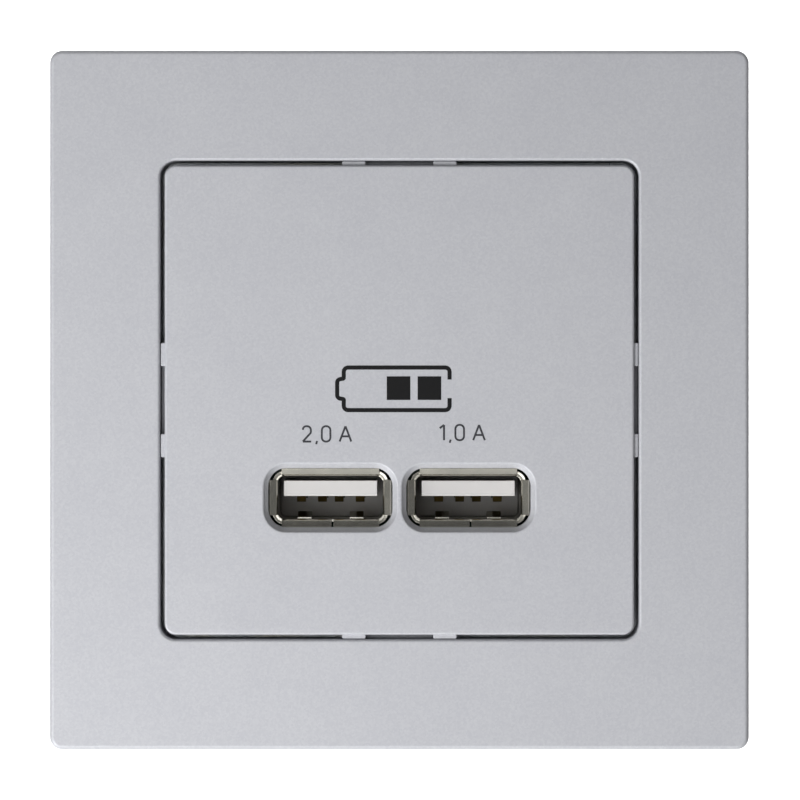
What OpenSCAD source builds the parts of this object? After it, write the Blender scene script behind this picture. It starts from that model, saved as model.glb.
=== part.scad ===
// Flush-mounted double USB charging socket for a 60 mm round wall box.
//
// +Z is up, +X is to the right as seen from the room, and +Y points into the wall.
// The origin is midway between the two box fixing screws, on the wall surface, so the
// frame, plate and strap lie at negative Y and the charging module hangs behind at positive Y.

/* [Cover frame] */
// Outer side of the square cover frame
frame_side = 83; // [82:0.5:88]
// Distance from the wall to the front face of the cover frame
frame_depth = 9; // [8.5:0.5:10]
// Thickness of the frame's outer walls
frame_wall = 1.8; // [1.4:0.1:2]
// Side of the square opening in the frame
opening_side = 56.8; // [56.6:0.1:57]
// Width of the softened front edge
frame_edge = 0.6; // [0.4:0.1:1.2]

/* [Centre plate] */
// Side of the square centre plate
plate_side = 55.7; // [55.5:0.1:55.8]
// How far the plate stands in front of the frame
plate_proud = 0.2; // [0:0.1:0.4]
// Thickness of the plate's front wall
plate_wall = 2; // [1.6:0.1:2.2]

/* [USB sockets] */
// Distance between the middles of the two sockets
port_pitch = 16.4; // [16:0.1:17]
// Height of the sockets' middles above the plate's middle
port_z = -11.6; // [-12:0.1:-11]
// Width of the cut-out in the plate for one socket
cutout_w = 15.6; // [15.2:0.1:15.7]
// Height of the cut-out in the plate for one socket
cutout_h = 7.9; // [7.6:0.1:8.4]

/* [Wall box fixing] */
// Side of the square support strap
strap_side = 71; // [70.5:0.5:71]
// Distance between opposite box screws
box_screw_pitch = 60; // [60:0.1:60.3]
// Travel of each spreading claw's nut along its screw
claw_travel = 6; // [4:0.5:6]

/* [Module] */
// Width of the module behind the wall
module_w = 42; // [41.6:0.1:42]
// Height of the module behind the wall
module_h = 48; // [47.6:0.1:48]
// Depth of the module behind the wall surface
module_depth = 33; // [33:0.5:36]
// Height of the wire space in an open terminal
wire_space = 4.2; // [4.1:0.1:4.2]

/* [Hidden] */
$fn = 48;
over = 0.5; // how far a cutting shape runs past the face it cuts

// Cover frame
frame_corner_r = 1.5;
opening_corner_r = 1.9;
skirt_wall = 1.2;
skirt_back = -3.6; // leaves room for the box screws' heads
clip_place = 18;
clip_w = 5;
clip_t = 1.2;
clip_gap = 0.2;

// Centre plate
plate_front = -frame_depth - plate_proud;
plate_back = plate_front + plate_wall;
plate_corner_r = 1.4;
plate_edge = 0.5;
plate_skirt_wall = 1.4;
plate_skirt_back = -4;
cutout_r = 2.6;
centring_rib_place = 5.4;
centring_rib_w = 2.8;
centring_rib_h = 0.5; // just short of the frame's opening
gap_floor_w = 8;
gap_floor_depth = 4.4;
leg_t = 1.4;
leg_w = [8, 4.6]; // above and below the module, and beside it
back_rib_places = [6, 16];
leg_back = -1.4;
leg_gap = 0.3;

// Support strap
strap_t = 1;
strap_corner_r = 4;
strap_tab_h = 4;
strap_tab_w = 6;
slot_w = 3.8;
slot_length = 7;
wall_screw_pitch = 62;
wall_screw_r = 1.9;

// Module shells
module_r = 10;
shell_wall = 1.6;
cover_front = -5.2;
cover_wall = 1.5;
opening_gap = 0.5; // between the module and the edge of the strap's opening
spigot_gap = 0.3; // between the cover's spigot and the strap's opening
spigot_wall = 1.3;
spigot_depth = 2;
boss_x = 15.5;
boss_z = 18.5;
boss_r = 2.7;
boss_split = spigot_depth + 0.3; // where the cover's bosses meet the housing's
boss_back = 14;
cover_screw_r = 1.1;
cover_screw_head_r = 2.1;
cover_screw_back = 10;
pad_x = 14;
pad_z = 8;
housing_floor = module_depth - shell_wall;

// Spreading claws
claw_x = 24.4;
claw_z = -6;
claw_screw_r = 1.5;
claw_screw_head_r = 2.7;
claw_screw_head_h = 1.8;
claw_screw_back = 24;
nut_y = 20;
nut_size = [4.6, 3.6, 5];
trunnion_r = 1;
cheek_t = 0.9;
cheek_in = 2.7; // from the screw's axis to the inside of a cheek
claw_front = 8.3;
claw_inner = 21.35;
claw_outer = 27.1;
claw_tip = 27.8;
claw_open_angle = 20;
ramp_gap = 0.25;

// USB sockets
shell_t = 0.3;
socket_w = 12.5;
socket_h = 5.12;
flange_w = 14.5;
flange_h = 7.2;
flange_front = -8.5;
tongue_w = 11.1;
tongue_h = 1.84;
tongue_z = 1.1;
tongue_front = -7.2;
socket_floor = 3.3;
contact_places = [-3.5, -1, 1, 3.5];
contact_w = 0.9;
contact_t = 0.3;
contact_back = 8;
shell_leg_w = 2;

// Boards
board_t = 1.6;
output_board_y = 5.1;
mains_board_y = 27;
mains_board_low = -9.8;
header_z = 18.2;
header_places = [-3.81, -1.27, 1.27, 3.81];
header_pin_r = 0.35;

// Terminals
terminal_x = 6.5;
terminal_y = 24.5;
bar_w = 6.4;
bar_t = 1;
bar_top = -11.4;
bar_bottom = bar_top - bar_t; // the face that the wire is pressed against
nut_wall_top = bar_bottom - wire_space - 1.2;
nut_wall_t = 1.2;
clamp_t = 1;
clamp_low = bar_bottom - wire_space - clamp_t;
chamber_w = 6.8;
chamber_wall = 1;
chamber_front = 17.5;
terminal_screw_r = 1.5;
terminal_head_r = 2;
terminal_head_h = 1.8;
pilot_r = 1;
pilot_h = 0.5;
running_gap = 0.05;

// Transformer, an E16 pair with the winding's axis into the wall
core_z = 7;
core_size = [16, 14.4, 4.8];
core_leg = 2.4;
core_middle = 4;
core_yoke = 2;
core_front_y = 11.5;
core_mid_y = core_front_y + core_size[1] / 2;
bobbin_flange = [10.8, 0.8, 13];
bobbin_tube = [5.6, 6.4];

// ---------- shared shapes ----------

// A rectangle with round corners, about its own middle
module rounded(w, h, r) {
    square([w - 2 * r, h], center = true);
    square([w, h - 2 * r], center = true);
    for (x = [-1, 1], y = [-1, 1])
        translate([x * (w / 2 - r), y * (h / 2 - r)]) circle(r);
}

// An outline in X and Z, made solid from depth y0 to depth y1
module solid_y(y0, y1) translate([0, y1, 0]) rotate([90, 0, 0]) linear_extrude(y1 - y0) children();

// A round bar along Y
module rod_y(r, y0, y1, x = 0, z = 0)
    translate([x, y0, z]) rotate([-90, 0, 0]) cylinder(r = r, h = y1 - y0);

// A round bar along Z
module rod_z(r, z0, z1, x = 0, y = 0) translate([x, y, z0]) cylinder(r = r, h = z1 - z0);

// A block between two opposite corners
module block(low, high) translate(low) cube(high - low);

// What is made for the right side, turned half a turn about the socket's axis for the left
module on_side(side) rotate([0, side > 0 ? 0 : 180, 0]) children();

// Copies on all four sides of a square
module on_four_sides() for (turn = [0 : 90 : 270]) rotate([0, turn, 0]) children();

module at_port(side) translate([side * port_pitch / 2, 0, port_z]) children();

module at_terminal(side) translate([side * terminal_x, 0, 0]) children();

// ---------- front ----------

module cover_frame() color("#b9bbbf") {
    inside = frame_side - 2 * frame_wall;
    back_of_front = -frame_depth + 2;
    clip_mid = strap_side / 2 - strap_t / 2; // middle of the strap's upright tabs
    difference() {
        hull() {
            solid_y(-frame_depth + frame_edge, 0) rounded(frame_side, frame_side, frame_corner_r);
            solid_y(-frame_depth + 0.3 * frame_edge, -1)
                rounded(frame_side - 0.6 * frame_edge, frame_side - 0.6 * frame_edge, frame_corner_r);
            solid_y(-frame_depth, -1)
                rounded(frame_side - 2 * frame_edge, frame_side - 2 * frame_edge, frame_corner_r);
        }
        solid_y(back_of_front, over) difference() {
            rounded(inside, inside, 1);
            rounded(opening_side + 2 * skirt_wall, opening_side + 2 * skirt_wall, opening_corner_r);
        }
        solid_y(skirt_back, over) square(inside - 4, center = true);
        solid_y(-frame_depth - over, over) rounded(opening_side, opening_side, opening_corner_r);
    }
    // Two grips either side of each upright tab of the strap
    for (side = [-1, 1], z = [-clip_place, clip_place], out = [-1, 1]) on_side(side) {
        mid = clip_mid + out * (strap_t / 2 + clip_gap + clip_t / 2);
        block([mid - clip_t / 2, back_of_front - 0.1, z - clip_w / 2],
              [mid + clip_t / 2, -strap_t - 0.8, z + clip_w / 2]);
    }
}

module centre_plate() color("#bcbec2") {
    inner = plate_side - 2 * plate_skirt_wall;
    difference() {
        hull() {
            solid_y(plate_front + plate_edge, plate_skirt_back)
                rounded(plate_side, plate_side, plate_corner_r);
            solid_y(plate_front, plate_back)
                rounded(plate_side - 1.2 * plate_edge, plate_side - 1.2 * plate_edge, plate_corner_r);
        }
        solid_y(plate_back, over) rounded(inner, inner, 1);
        for (side = [-1, 1])
            at_port(side) solid_y(plate_front - over, over) rounded(cutout_w, cutout_h, cutout_r);
    }
    // Small ribs that keep the plate in the middle of the frame's opening
    on_four_sides() for (x = [-centring_rib_place, centring_rib_place])
        block([x - centring_rib_w / 2, plate_front + 0.5, plate_side / 2 - 0.3],
              [x + centring_rib_w / 2, plate_skirt_back - 1, plate_side / 2 + centring_rib_h]);
    // A lower rib between each pair closes the gap in front of the box screws
    on_four_sides()
        block([-gap_floor_w / 2, plate_front + gap_floor_depth, plate_side / 2 - 0.3],
              [gap_floor_w / 2, plate_skirt_back, plate_side / 2 + centring_rib_h]);
    // Legs that grip the front cover's sides
    for (side = [-1, 1]) on_side(side) {
        leg_z = module_h / 2 + leg_gap;
        leg_x = module_w / 2 + leg_gap;
        block([-leg_w[0] / 2, plate_back - 0.1, leg_z], [leg_w[0] / 2, leg_back, leg_z + leg_t]);
        block([leg_x, plate_back - 0.1, -leg_w[1] / 2], [leg_x + leg_t, leg_back, leg_w[1] / 2]);
    }
    // Stiffening ribs across the back
    for (z = back_rib_places)
        block([-inner / 2 - 0.1, plate_back - 0.1, z - 0.5], [inner / 2 + 0.1, plate_back + 0.9, z + 0.5]);
}

// ---------- fixing to the wall ----------

module strap_outline() difference() {
    rounded(strap_side, strap_side, strap_corner_r);
    rounded(module_w - 2 * opening_gap, module_h - 2 * opening_gap, module_r - opening_gap);
    for (turn = [0 : 90 : 270]) rotate(turn) translate([box_screw_pitch / 2, 0])
        rounded(slot_length, slot_w - 0.001, slot_w / 2 - 0.001);
    for (x = [-1, 1], z = [-1, 1]) translate([x, z] * wall_screw_pitch / 2) circle(wall_screw_r);
    for (side = [-1, 1]) translate([side * claw_x, side * claw_z]) circle(claw_screw_r + 0.2);
}

module support_strap() color("#c9cccf") {
    solid_y(-strap_t, 0) strap_outline();
    for (side = [-1, 1], z = [-clip_place, clip_place]) on_side(side)
        block([strap_side / 2 - strap_t, -strap_t - strap_tab_h, z - strap_tab_w / 2],
              [strap_side / 2, -strap_t / 2, z + strap_tab_w / 2]);
}

module claw_screw(side) color("#d6d8da") on_side(side) difference() {
    union() {
        rod_y(claw_screw_r, -strap_t - 0.1, claw_screw_back, claw_x, claw_z);
        rod_y(claw_screw_head_r, -strap_t - claw_screw_head_h, -strap_t, claw_x, claw_z);
    }
    translate([claw_x, -strap_t - claw_screw_head_h, claw_z]) for (turn = [0, 90]) rotate([0, turn, 0])
        cube([3.4, 2.2, 0.7], center = true);
}

module retaining_ring(side) color("#5a5d60") on_side(side) difference() {
    rod_y(claw_screw_head_r - 0.2, 0.05, 0.6, claw_x, claw_z);
    rod_y(claw_screw_r, -over, 1, claw_x, claw_z);
}

module claw_nut(side) color("#cfb35a") on_side(side) difference() {
    translate([claw_x, nut_y, claw_z]) {
        cube(nut_size, center = true);
        rod_z(trunnion_r, -cheek_in - cheek_t, cheek_in + cheek_t);
    }
    rod_y(claw_screw_r + running_gap, 0, module_depth, claw_x, claw_z);
}

// One cheek of the claw, seen along Z
module cheek_outline() difference() {
    union() {
        translate([claw_x, nut_y]) circle(2.2);
        polygon([[claw_inner, claw_front], [claw_outer, claw_front], [claw_outer, claw_front + 7.7],
                 [claw_x + 2.2, nut_y], [claw_x - 2.2, nut_y], [claw_inner, claw_front + 6]]);
    }
    translate([claw_x, nut_y]) circle(trunnion_r + running_gap);
}

module claw(side) color("#c4c7ca") on_side(side) {
    for (edge = [-1, 1]) translate([0, 0, claw_z + edge * (cheek_in + cheek_t / 2) - cheek_t / 2])
        linear_extrude(cheek_t) cheek_outline();
    // The web that joins the cheeks, with its front edge cut into biting teeth
    reach = cheek_in + cheek_t;
    block([claw_outer - cheek_t, claw_front, claw_z - reach],
          [claw_outer, claw_front + 7.7, claw_z + reach]);
    root = claw_outer - 0.1;
    for (tooth = [-2.4, 0, 2.4]) translate([0, 0, claw_z + tooth - 0.6]) linear_extrude(1.2)
        polygon([[root, claw_front], [claw_tip, claw_front], [root, claw_front + 1.6]]);
}

// ---------- module shells ----------

module boss_places() for (x = [-boss_x, boss_x], z = [-boss_z, boss_z]) translate([x, 0, z]) children();

module front_cover() color("#3b3d40") difference() {
    spigot_w = module_w - 2 * opening_gap - 2 * spigot_gap;
    spigot_h = module_h - 2 * opening_gap - 2 * spigot_gap;
    spigot_r = module_r - opening_gap - spigot_gap;
    union() {
        difference() {
            union() {
                solid_y(cover_front, -strap_t) rounded(module_w, module_h, module_r);
                solid_y(-strap_t - 0.1, spigot_depth) rounded(spigot_w, spigot_h, spigot_r);
            }
            solid_y(cover_front + cover_wall, spigot_depth + over)
                rounded(spigot_w - 2 * spigot_wall, spigot_h - 2 * spigot_wall, spigot_r - spigot_wall);
        }
        boss_places() rod_y(boss_r, cover_front + cover_wall - 0.1, boss_split);
        // Pads that press the output board onto its ledges
        for (x = [-pad_x, pad_x]) rod_y(1.2, cover_front + cover_wall - 0.1, output_board_y, x, pad_z);
    }
    boss_places() {
        rod_y(cover_screw_r + 0.2, cover_front - over, boss_split + over);
        rod_y(cover_screw_head_r + 0.2, cover_front - over, cover_front + 1.4);
    }
    for (side = [-1, 1]) at_port(side)
        solid_y(cover_front - over, 0) rounded(flange_w + 0.4, flange_h + 0.4, 2);
    // Recesses that the plate's legs grip
    for (side = [-1, 1]) on_side(side) {
        block([-3, -3.6, module_h / 2 - 0.5], [3, -2.4, module_h / 2 + over]);
        block([module_w / 2 - 0.5, -3.6, -1.8], [module_w / 2 + over, -2.4, 1.8]);
    }
    // Warm air leaves through slots above the sockets
    for (x = [-9 : 3 : 9]) block([x - 0.5, cover_front - over, 12], [x + 0.5, 0, 19]);
}

module cover_screws() color("#9a9da0") boss_places() difference() {
    union() {
        rod_y(cover_screw_head_r, cover_front + 0.1, cover_front + 1.4);
        rod_y(cover_screw_r, cover_front + 1, cover_screw_back);
    }
    translate([0, cover_front + 0.1, 0]) for (turn = [0, 90]) rotate([0, turn, 0])
        cube([2.6, 1.4, 0.55], center = true);
}

// The wedge that a claw's cheek rides up as its nut comes forward
module ramp(side) on_side(side) {
    turned_x = cos(claw_open_angle) * (claw_inner - claw_x) - sin(claw_open_angle) * (claw_front - nut_y);
    turned_y = sin(claw_open_angle) * (claw_inner - claw_x) + cos(claw_open_angle) * (claw_front - nut_y);
    top = [claw_x + turned_x - ramp_gap, nut_y - claw_travel + turned_y];
    foot = [claw_inner - ramp_gap, claw_front];
    wall_x = module_w / 2 - 0.5;
    for (edge = [-1, 1]) translate([0, 0, claw_z + edge * (cheek_in + cheek_t / 2) - cheek_t / 2])
        linear_extrude(cheek_t)
            polygon([[wall_x, 0.8], [top[0], 0.8], top, foot, [wall_x, claw_front + 1]]);
}

module terminal_chamber(side) at_terminal(side) {
    low = -module_h / 2 + 0.1;
    half = chamber_w / 2;
    for (edge = [-half - chamber_wall, half])
        block([edge, chamber_front, low], [edge + chamber_wall, housing_floor + 0.1, bar_top + 0.5]);
    block([-half - 0.1, chamber_front, low], [half + 0.1, chamber_front + chamber_wall, bar_top + 0.5]);
    for (ledge = [[chamber_front, chamber_front + 3.5], [terminal_y + 4.1, housing_floor + 0.1]])
        block([-half - 0.1, ledge[0], low], [half + 0.1, ledge[1], nut_wall_top - nut_wall_t - 0.1]);
}

module rear_housing() color("#44474a") difference() {
    union() {
        difference() {
            solid_y(0, module_depth) rounded(module_w, module_h, module_r);
            solid_y(-over, housing_floor)
                rounded(module_w - 2 * shell_wall, module_h - 2 * shell_wall, module_r - shell_wall);
            // Rebate for the front cover's spigot
            solid_y(-over, spigot_depth + 0.3)
                rounded(module_w - 1.4, module_h - 1.4, module_r - 0.7);
        }
        boss_places() rod_y(boss_r, boss_split, boss_back);
        for (side = [-1, 1]) {
            ramp(side);
            terminal_chamber(side);
            // Ledges under the output board
            on_side(side) {
                ledge_y = output_board_y + board_t + 0.1;
                block([module_w / 2 - shell_wall - 1.2, ledge_y, -3], [module_w / 2 - 1, 20, 3]);
                block([-1.5, ledge_y, module_h / 2 - shell_wall - 1.2], [1.5, 16, module_h / 2 - 1]);
            }
            // Posts behind the mains board
            for (z = [-7, 15]) rod_y(1.6, mains_board_y + board_t, housing_floor + 0.1, side * 15.5, z);
        }
    }
    for (side = [-1, 1]) at_terminal(side) {
        wire_w = 5.2;
        low = -module_h / 2;
        block([-wire_w / 2, housing_floor - over, clamp_low + clamp_t],
              [wire_w / 2, module_depth + over, bar_bottom]);
        rod_z(terminal_head_r + 0.2, low - over, low + shell_wall + over, 0, terminal_y);
    }
    boss_places() rod_y(cover_screw_r + running_gap, boss_split - over, boss_back - 2);
    // Air slots in the upper wall
    for (x = [-9 : 3 : 9])
        block([x - 0.5, 8, module_h / 2 - shell_wall - over], [x + 0.5, 14, module_h / 2 + over]);
}

// ---------- USB sockets ----------

module usb_shell(side) color("#c8c9c4") at_port(side) {
    difference() {
        union() {
            solid_y(flange_front, output_board_y)
                rounded(socket_w + 2 * shell_t, socket_h + 2 * shell_t, 1);
            solid_y(flange_front, flange_front + shell_t) rounded(flange_w, flange_h, 1.9);
        }
        solid_y(flange_front - over, output_board_y + over) rounded(socket_w, socket_h, 0.7);
    }
    for (edge = [-socket_w / 2 - shell_t, socket_w / 2])
        block([edge, output_board_y - 0.1, -shell_leg_w / 2],
              [edge + shell_t, contact_back, shell_leg_w / 2]);
}

module usb_insulator(side) color("#f0efec") at_port(side) difference() {
    union() {
        solid_y(socket_floor, output_board_y) rounded(socket_w - 0.1, socket_h - 0.1, 0.65);
        block([-tongue_w / 2, tongue_front, tongue_z - tongue_h / 2],
              [tongue_w / 2, socket_floor + 0.1, tongue_z + tongue_h / 2]);
    }
    for (x = contact_places)
        block([x - contact_w / 2 - 0.1, tongue_front + 0.5, tongue_z - tongue_h / 2 - over],
              [x + contact_w / 2 + 0.1, output_board_y + over, tongue_z - tongue_h / 2 + contact_t + 0.15]);
}

module usb_contacts(side) color("#c9a64a") at_port(side) {
    flat = tongue_z - tongue_h / 2 + contact_t + 0.05; // upper face of the strip inside its groove
    bow = flat - 0.95; // lowest reach of the sprung bow
    for (x = contact_places) translate([x + contact_w / 2, 0, 0]) rotate([90, 0, -90])
        linear_extrude(contact_w) polygon([
            [-tongue_front - 0.8, flat], [-tongue_front - 1.6, flat], [4.2, bow + contact_t],
            [3.4, bow + contact_t], [0, flat], [-contact_back, flat],
            [-contact_back, flat - contact_t], [0.1, flat - contact_t], [3.3, bow],
            [4.3, bow], [-tongue_front - 1.5, flat - contact_t], [-tongue_front - 0.8, flat - contact_t],
        ]);
}

// ---------- boards ----------

// What fits inside the shells, with a gap all round
module board_outline() {
    smaller = 2 * shell_wall + 1.4;
    rounded(module_w - smaller, module_h - smaller, module_r - shell_wall - 0.8);
}

module output_board() color("#2f6b45") difference() {
    solid_y(output_board_y, output_board_y + board_t) board_outline();
    boss_places() rod_y(boss_r + 0.3, 0, 2 * boss_back);
    for (side = [-1, 1]) at_port(side) {
        for (edge = [-1, 1]) translate([edge * (socket_w + shell_t) / 2, output_board_y, 0])
            cube([0.7, 4 * board_t, shell_leg_w + 0.4], center = true);
        for (x = contact_places) translate([x, output_board_y, tongue_z - tongue_h / 2 + contact_t / 2])
            cube([contact_w + 0.2, 4 * board_t, 0.8], center = true);
    }
    for (x = header_places) rod_y(header_pin_r + 0.1, 0, 2 * boss_back, x, header_z);
}

module output_capacitors() color("#c3c6c9") for (x = [-6.5, 6.5]) rod_y(3.15, -2.8, output_board_y, x, 3.5);

module output_inductor() color("#3a3a3c")
    block([-3.2, output_board_y - 3, 7.8], [3.2, output_board_y, 14.2]);

module port_controller() color("#232427")
    block([-2.5, output_board_y - 1.5, -5], [2.5, output_board_y, -1]);

module rectifier_diode() color("#2b2c2e")
    block([-2.6, output_board_y + board_t, -6.6], [2.6, output_board_y + board_t + 2.3, -2.8]);

module link_header() color("#1f2022") difference() {
    block([-5.08, mains_board_y - 2.5, header_z - 1.27], [5.08, mains_board_y, header_z + 1.27]);
    for (x = header_places) rod_y(header_pin_r + running_gap, 0, module_depth, x, header_z);
}

module link_pins() color("#d9cfa6") for (x = header_places)
    rod_y(header_pin_r, output_board_y - 0.8, mains_board_y + board_t + 0.8, x, header_z);

module mains_board() color("#2f6b45") difference() {
    low = mains_board_low;
    solid_y(mains_board_y, mains_board_y + board_t) intersection() {
        board_outline();
        translate([-module_w / 2, low]) square([module_w, module_h]);
    }
    for (x = header_places) rod_y(header_pin_r + 0.1, mains_board_y - over, module_depth, x, header_z);
}

// One half of the core: a yoke, two outer legs and a middle leg, meeting the other half at core_mid_y
module core_half(front) {
    size = core_size;
    far = front ? core_front_y : core_front_y + size[1];
    in = front ? 1 : -1;
    half_z = size[2] / 2;
    for (leg = [[-size[0] / 2, -size[0] / 2 + core_leg], [-core_middle / 2, core_middle / 2],
                [size[0] / 2 - core_leg, size[0] / 2]])
        block([leg[0], min(far, core_mid_y), core_z - half_z],
              [leg[1], max(far, core_mid_y), core_z + half_z]);
    block([-size[0] / 2, min(far, far + in * core_yoke), core_z - half_z],
          [size[0] / 2, max(far, far + in * core_yoke), core_z + half_z]);
}

module core_front() color("#4a4a4e") core_half(true);
module core_rear() color("#46464a") core_half(false);

// A square ring round the core's middle leg
module ring_y(outer, inner, y0, y1) translate([0, 0, core_z])
    solid_y(y0, y1) difference() {
        square(outer, center = true);
        square(inner, center = true);
    }

module transformer_bobbin() color("#2a2a2c") {
    window = [core_front_y + core_yoke, core_front_y + core_size[1] - core_yoke];
    bore = [core_middle + 0.3, core_size[2] + 0.3];
    flange = [bobbin_flange[0], bobbin_flange[2]];
    ring_y(bobbin_tube, bore, window[0] + 0.1, window[1] - 0.1);
    ring_y(flange, bore, window[0] + 0.1, window[0] + 0.1 + bobbin_flange[1]);
    ring_y(flange, bore, window[1] - 0.1 - bobbin_flange[1], window[1] - 0.1);
    for (side = [-1, 1]) translate([0, 0, core_z])
        block([-5.4, window[1] - 0.9, side > 0 ? 4 : -8], [5.4, mains_board_y, side > 0 ? 8 : -4]);
}

module transformer_winding() color("#a4552a")
    ring_y([9.8, 11], bobbin_tube, core_front_y + core_yoke + 1,
           core_front_y + core_size[1] - core_yoke - 1);

module transformer_tape() color("#d8b63c")
    ring_y([10.4, 11.6], [9.8, 11], core_front_y + core_yoke + 1.2,
           core_front_y + core_size[1] - core_yoke - 1.2);

module bulk_capacitors() color("#26364f") for (z = [4, 13]) rod_y(4, 14.6, mains_board_y, -13.9, z);

module interference_capacitor() color("#d3a52c") block([11, 16, -3.4], [16.5, mains_board_y, 9.6]);

module filter_choke() color("#33353a") difference() {
    rod_y(4, 18, mains_board_y, 13.4, 14.4);
    difference() {
        rod_y(4 + over, 19.2, mains_board_y - 1.2, 13.4, 14.4);
        rod_y(3.3, 19, mains_board_y - 1, 13.4, 14.4);
    }
}

module mains_fuse() color("#1d1e20") rod_y(4.1, 19.5, mains_board_y, -13.6, -5.2);

module surge_varistor() color("#2a58a0") rod_z(3.5, -8.6, -5.2, 13.5, mains_board_y - 3.8);

module safety_capacitor() color("#3569b5") rod_z(3.3, -5.2, -2.4, 4.4, mains_board_y - 3.6);

module optocoupler() color("#e6e4dc") block([-5.4, mains_board_y - 3.4, -6.8], [-0.8, mains_board_y, -2.2]);

module bridge_rectifier() color("#242528")
    block([-7, mains_board_y + board_t, 3], [-2, mains_board_y + board_t + 2.2, 7]);

module power_controller() color("#242528")
    block([1.5, mains_board_y + board_t, 2], [6.5, mains_board_y + board_t + 1.5, 6]);

// ---------- mains terminals ----------

module terminal_bar(side) color("#d0ad5b") at_terminal(side) difference() {
    front = chamber_front + chamber_wall + 0.5;
    low = nut_wall_top - nut_wall_t;
    union() {
        block([-bar_w / 2, front, bar_bottom], [bar_w / 2, 30.6, bar_top]);
        block([-bar_w / 2, front, low], [bar_w / 2, front + bar_t, bar_top]);
        block([-bar_w / 2, front, low], [bar_w / 2, 29, nut_wall_top]);
        // Tab soldered to the mains board
        block([-1.5, mains_board_y - 1.1, bar_top - 0.1], [1.5, mains_board_y - 0.1, bar_top + 4]);
    }
    rod_z(terminal_screw_r + running_gap, low - over, nut_wall_top + over, 0, terminal_y);
}

module clamp_plate(side) color("#c7cacd") at_terminal(side) difference() {
    block([-2.7, terminal_y - 3.9, clamp_low], [2.7, terminal_y + 3.9, clamp_low + clamp_t]);
    rod_z(pilot_r + running_gap, clamp_low - over, clamp_low + pilot_h + 0.05, 0, terminal_y);
}

module terminal_screw(side) color("#d9dbdd") at_terminal(side) {
    head_low = -module_h / 2;
    difference() {
        union() {
            rod_z(terminal_head_r, head_low, head_low + terminal_head_h, 0, terminal_y);
            rod_z(terminal_screw_r, head_low + 1, clamp_low, 0, terminal_y);
            rod_z(pilot_r, clamp_low - 0.1, clamp_low + pilot_h, 0, terminal_y);
        }
        translate([0, terminal_y, head_low])
            for (turn = [0, 90]) rotate(turn) cube([2.8, 0.6, 2], center = true);
    }
}

cover_frame();
centre_plate();
support_strap();
front_cover();
rear_housing();
cover_screws();
claw_screw(-1);  // claw_screw_left
claw_screw(1);  // claw_screw_right
retaining_ring(-1);  // retaining_ring_left
retaining_ring(1);  // retaining_ring_right
claw_nut(-1);  // claw_nut_left
claw_nut(1);  // claw_nut_right
claw(-1);  // claw_left
claw(1);  // claw_right
usb_shell(-1);  // usb_shell_left
usb_shell(1);  // usb_shell_right
usb_insulator(-1);  // usb_insulator_left
usb_insulator(1);  // usb_insulator_right
usb_contacts(-1);  // usb_contacts_left
usb_contacts(1);  // usb_contacts_right
output_board();
output_capacitors();
output_inductor();
port_controller();
rectifier_diode();
link_header();
link_pins();
mains_board();
transformer_bobbin();
transformer_winding();
transformer_tape();
core_front();
core_rear();
bulk_capacitors();
interference_capacitor();
filter_choke();
mains_fuse();
surge_varistor();
safety_capacitor();
optocoupler();
bridge_rectifier();
power_controller();
terminal_bar(-1);  // terminal_bar_line
terminal_bar(1);  // terminal_bar_neutral
clamp_plate(-1);  // clamp_plate_line
clamp_plate(1);  // clamp_plate_neutral
terminal_screw(-1);  // terminal_screw_line
terminal_screw(1);  // terminal_screw_neutral
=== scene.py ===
import bpy
import bmesh
import random
from math import atan2, cos, pi, radians, sin, tau
from mathutils import Matrix, Vector


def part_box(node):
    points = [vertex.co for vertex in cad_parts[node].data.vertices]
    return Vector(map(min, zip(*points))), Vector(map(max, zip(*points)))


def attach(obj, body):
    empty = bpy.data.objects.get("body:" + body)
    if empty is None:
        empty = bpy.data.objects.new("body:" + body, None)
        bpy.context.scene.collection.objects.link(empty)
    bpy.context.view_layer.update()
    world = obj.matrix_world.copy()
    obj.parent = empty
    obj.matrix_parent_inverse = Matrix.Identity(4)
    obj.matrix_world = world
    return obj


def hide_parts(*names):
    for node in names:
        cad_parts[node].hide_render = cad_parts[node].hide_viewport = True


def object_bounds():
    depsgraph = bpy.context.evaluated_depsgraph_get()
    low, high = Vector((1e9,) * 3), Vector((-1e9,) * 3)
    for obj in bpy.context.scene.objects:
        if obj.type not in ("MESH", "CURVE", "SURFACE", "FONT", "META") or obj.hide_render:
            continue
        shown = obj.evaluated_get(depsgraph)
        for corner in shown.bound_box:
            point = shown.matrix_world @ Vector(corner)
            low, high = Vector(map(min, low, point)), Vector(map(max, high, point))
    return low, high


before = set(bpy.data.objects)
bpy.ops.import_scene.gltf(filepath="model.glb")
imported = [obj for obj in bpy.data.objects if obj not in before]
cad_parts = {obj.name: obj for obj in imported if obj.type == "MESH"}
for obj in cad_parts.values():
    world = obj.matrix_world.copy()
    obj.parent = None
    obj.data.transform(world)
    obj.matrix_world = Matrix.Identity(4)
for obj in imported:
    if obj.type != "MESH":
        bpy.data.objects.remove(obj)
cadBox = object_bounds()
mm = 0.001  # every size below is in millimetres
weldGap = 0.0005  # corners closer than this are one corner
creaseAngle = 34  # degrees; a sharper edge stays a crease in the shading
bevelAngle = 32  # degrees; a sharper edge is rounded


def linear(hexColour):
    parts = [int(hexColour[i:i + 2], 16) / 255 for i in (1, 3, 5)]
    return tuple(c / 12.92 if c <= 0.04045 else ((c + 0.055) / 1.055) ** 2.4 for c in parts) + (1.0,)


def addNode(tree, kind, inputs=None, **settings):
    node = tree.nodes.new(kind)
    for key, value in settings.items():
        setattr(node, key, value)
    for key, value in (inputs or {}).items():
        if isinstance(value, bpy.types.Node):
            value = value.outputs[0]
        if isinstance(value, bpy.types.NodeSocket):
            tree.links.new(value, node.inputs[key])
        else:
            node.inputs[key].default_value = value
    return node


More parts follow.
